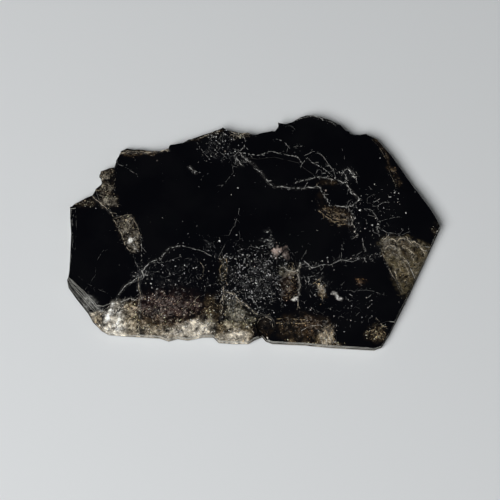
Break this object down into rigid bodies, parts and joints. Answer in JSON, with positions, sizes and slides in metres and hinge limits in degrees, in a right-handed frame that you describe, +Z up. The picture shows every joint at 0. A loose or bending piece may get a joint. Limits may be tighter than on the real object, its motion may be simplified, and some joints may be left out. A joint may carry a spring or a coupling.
{
  "type": "mica crystal",
  "caption": "Flat book of glossy dark mica with straight crystal faces, a torn edge, flaked golden patches and pale cracks.",
  "frame": {"origin": "middle of the underside's bounding box, on the surface that the crystal lies on", "axes": "+X along the crystal's long side, towards its pointed end; +Y towards the torn edge; +Z up, square to the cleavage sheets"},
  "size_m": [0.09, 0.0598, 0.0029],
  "materials": {
    "mica": "glossy black-brown cleavage face with frosted cracks and crinkled golden flakes"
  },
  "bodies": {
    "root": {"mica_crystal": "mica"}
  },
  "joints": []
}
